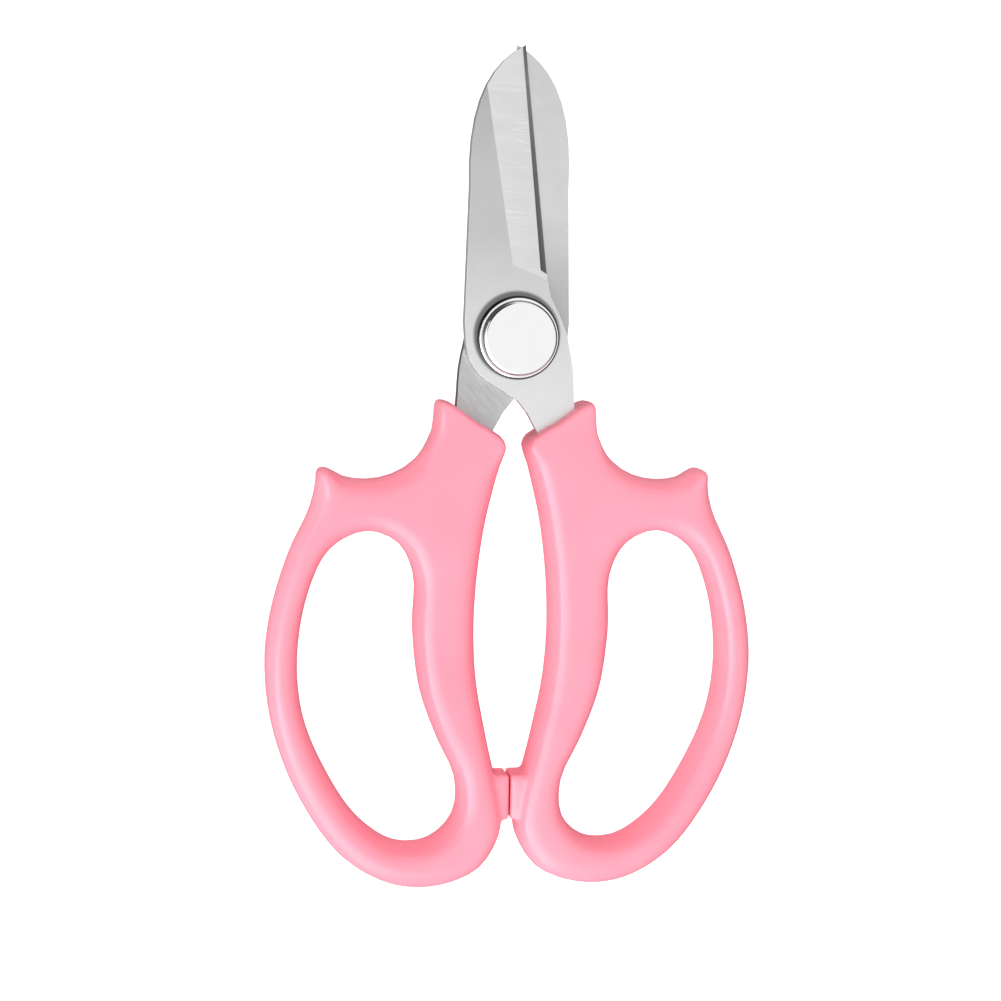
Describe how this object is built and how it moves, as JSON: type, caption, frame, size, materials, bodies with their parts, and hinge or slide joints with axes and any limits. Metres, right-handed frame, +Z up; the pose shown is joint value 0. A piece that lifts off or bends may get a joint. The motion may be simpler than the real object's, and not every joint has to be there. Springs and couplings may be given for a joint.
{
  "type": "floral snips",
  "caption": "Hand snips for cutting flower stems: ground steel blades cross at a polished pivot bolt, with moulded loop handles and finger rests.",
  "frame": {"origin": "under the middle of the snips as they lie flat and shut, on the surface that they lie on", "axes": "+Y towards the blade tips, +Z up from the surface to the polished bolt head, +X to the handle of the front blade"},
  "size_m": [0.098, 0.1672, 0.012],
  "materials": {
    "blade_steel": "satin ground stainless steel",
    "handle_plastic": "gloss pink moulded plastic",
    "polished_steel": "mirror polished",
    "washer_plastic": "plain white acetal",
    "plated_steel": "bright zinc plate",
    "spring_steel": "bare spring steel"
  },
  "bodies": {
    "front_half": {"front_blade": "blade_steel", "right_handle": "handle_plastic", "pivot_bolt": "polished_steel", "blade_washer": "washer_plastic", "back_washer": "plated_steel", "spring_washer": "spring_steel", "pivot_nut": "plated_steel"},
    "back_half": {"back_blade": "blade_steel", "left_handle": "handle_plastic"}
  },
  "joints": [
    {"name": "pivot", "type": "hinge", "parent": "front_half", "child": "back_half", "pos_m": [0, 0.02672, 0.006], "axis": [0, 0, -1], "range_deg": [0, 95]}
  ]
}
